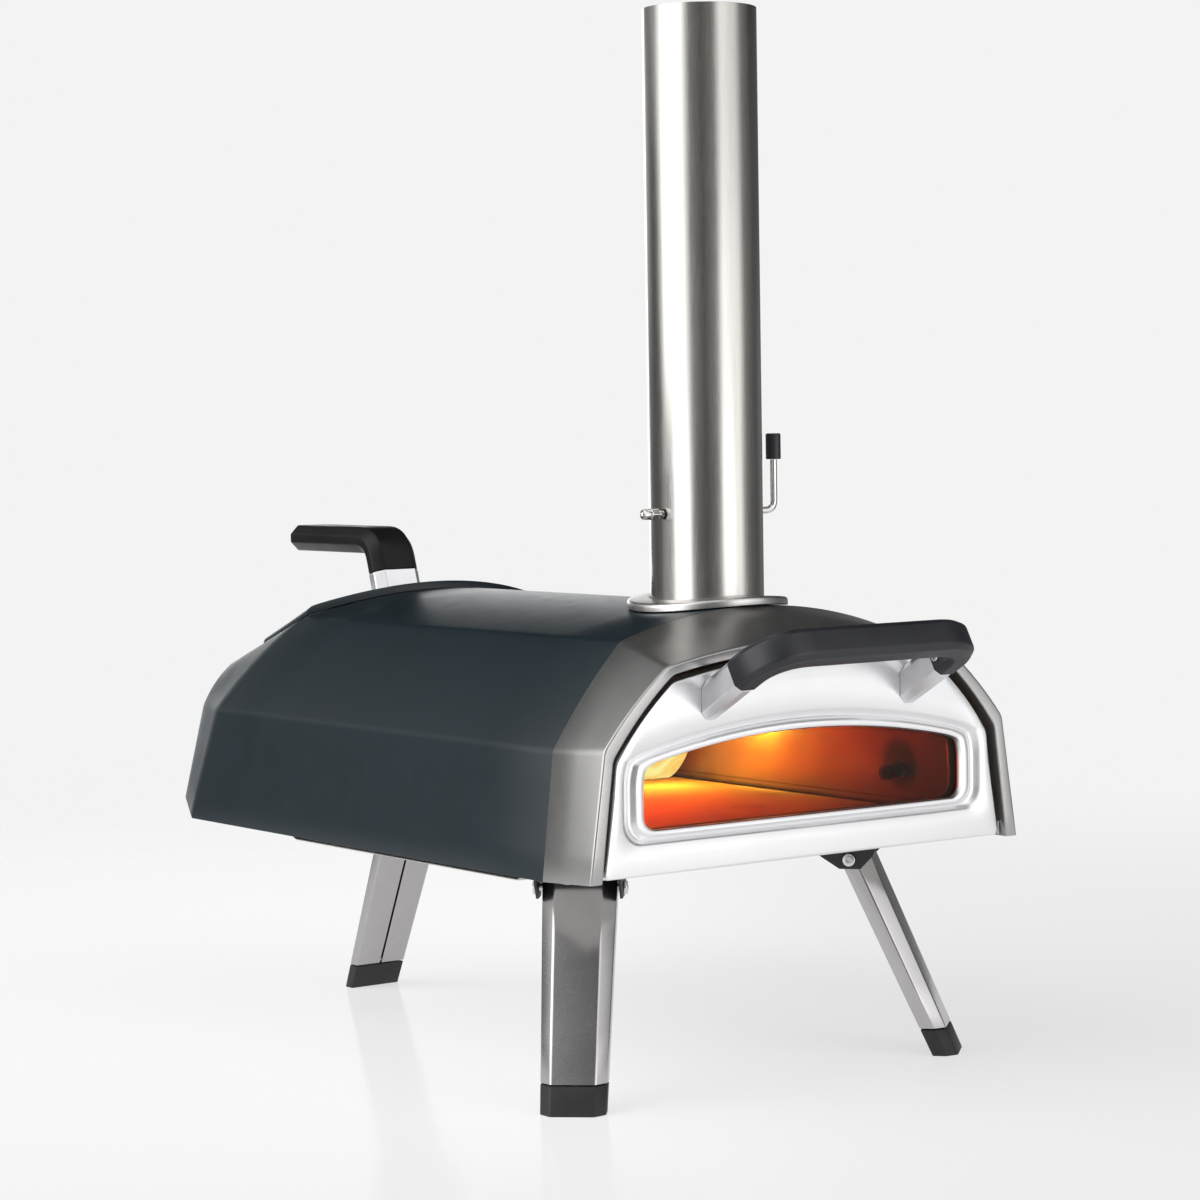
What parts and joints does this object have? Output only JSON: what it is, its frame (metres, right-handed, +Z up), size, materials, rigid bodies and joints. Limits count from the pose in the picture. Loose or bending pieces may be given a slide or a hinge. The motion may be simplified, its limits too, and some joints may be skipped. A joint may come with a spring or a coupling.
{
  "type": "wood fired pizza oven",
  "caption": "Portable wood fired oven: coated barrel-roof shell on folding legs, glazed drop-down door, steel chimney with damper, and a lift-off fuel hatch at the rear.",
  "frame": {"origin": "on the ground, under the middle of the whole oven's box", "axes": "+Z up along the chimney, -Y out of the mouth, +X to the right of someone facing the door, the side of the thermometer and the damper's lever"},
  "size_m": [0.4323, 0.8075, 0.83],
  "materials": {
    "navy_coating": "dark blue-grey powder coat, fine texture",
    "grey_coating": "warm grey metallic coat, satin",
    "black_coating": "black powder coat, satin",
    "stainless_sheet": "stainless sheet, satin",
    "door_steel": "stainless sheet, fine horizontal brushing",
    "chimney_steel": "stainless sheet, fine brushing round the tube",
    "leg_steel": "folded stainless sheet, satin",
    "bright_steel": "bright steel",
    "handle_aluminium": "satin aluminium",
    "black_plastic": "fine-textured black plastic",
    "foot_rubber": "black moulded rubber",
    "stone": "opaque fired cordierite, matte and grainy",
    "ceramic_wool": "pale ceramic fibre",
    "door_glass": "clear heat-proof glass",
    "gauge_lens": "clear glass",
    "gauge_face": "off-white, matte",
    "gauge_needle": "red paint"
  },
  "bodies": {
    "oven": {"outer_shell": "navy_coating", "front_bezel": "grey_coating", "rear_cowl": "navy_coating", "rear_panel": "navy_coating", "burner_port_cover": "navy_coating", "port_screw_left": "bright_steel", "port_screw_right": "bright_steel", "base_pan": "stainless_sheet", "inner_floor": "stainless_sheet", "pizza_stone": "stone", "inner_liner": "stainless_sheet", "insulation_blanket": "ceramic_wool", "front_plate": "stainless_sheet", "flame_baffle": "stainless_sheet", "fuel_box": "stainless_sheet", "fuel_tray": "stainless_sheet", "fuel_grate": "stainless_sheet", "flue_socket": "stainless_sheet", "flue_collar": "chimney_steel", "thermometer_case": "bright_steel", "thermometer_dial": "gauge_face", "thermometer_lens": "gauge_lens", "thermometer_probe": "chimney_steel", "door_hinge_left": "door_steel", "door_hinge_right": "door_steel", "leg_bracket_front_left": "black_coating", "leg_bracket_front_right": "black_coating", "leg_bracket_rear": "black_coating", "pivot_bolt_front_left": "bright_steel", "pivot_bolt_front_right": "bright_steel", "pivot_bolt_rear": "bright_steel"},
    "needle": {"thermometer_needle": "gauge_needle"},
    "door": {"door_panel": "door_steel", "door_glass": "door_glass", "door_back_plate": "door_steel", "door_gasket": "ceramic_wool", "handle_arm_left": "handle_aluminium", "handle_arm_right": "handle_aluminium", "door_grip": "black_plastic", "grip_screw_left": "bright_steel", "grip_screw_right": "bright_steel"},
    "chimney": {"chimney_tube": "chimney_steel"},
    "damper": {"damper_rod": "bright_steel", "damper_knob": "black_plastic", "damper_plate": "chimney_steel", "damper_nut": "bright_steel"},
    "hatch": {"hatch_lid": "navy_coating", "hatch_plug": "stainless_sheet", "hatch_stem": "handle_aluminium", "hatch_grip": "black_plastic"},
    "leg_front_left": {"leg_front_left": "leg_steel", "foot_cap_front_left": "foot_rubber"},
    "leg_front_right": {"leg_front_right": "leg_steel", "foot_cap_front_right": "foot_rubber"},
    "leg_rear": {"leg_rear": "leg_steel", "foot_cap_rear": "foot_rubber"}
  },
  "joints": [
    {"name": "door_hinge", "type": "hinge", "parent": "oven", "child": "door", "pos_m": [0, -0.307, 0.1845], "axis": [1, 0, 0], "range_deg": [0, 90]},
    {"name": "chimney_twist", "type": "hinge", "parent": "oven", "child": "chimney", "pos_m": [0, -0.1927, 0.376], "axis": [0, 0, 1], "range_deg": [0, 35]},
    {"name": "damper_turn", "type": "hinge", "parent": "chimney", "child": "damper", "pos_m": [0, -0.1927, 0.439], "axis": [1, 0, 0], "range_deg": [0, 90]},
    {"name": "hatch_lift", "type": "slide", "parent": "oven", "child": "hatch", "axis": [0, 0.2974, 0.9548], "range_m": [0, 0.12]},
    {"name": "leg_front_left_fold", "type": "hinge", "parent": "oven", "child": "leg_front_left", "pos_m": [-0.13682, -0.20599, 0.1585], "axis": [0.7431, -0.6691, 0], "range_deg": [0, 114]},
    {"name": "leg_front_right_fold", "type": "hinge", "parent": "oven", "child": "leg_front_right", "pos_m": [0.13682, -0.20599, 0.1585], "axis": [0.7431, 0.6691, 0], "range_deg": [0, 114]},
    {"name": "leg_rear_fold", "type": "hinge", "parent": "oven", "child": "leg_rear", "pos_m": [0, 0.2435, 0.1585], "axis": [-1, 0, 0], "range_deg": [0, 114]},
    {"name": "thermometer_needle_turn", "type": "hinge", "parent": "oven", "child": "needle", "pos_m": [0.21159, -0.2245, 0.23234], "axis": [0.9913, 0, 0.1313], "range_deg": [0, 240]}
  ]
}
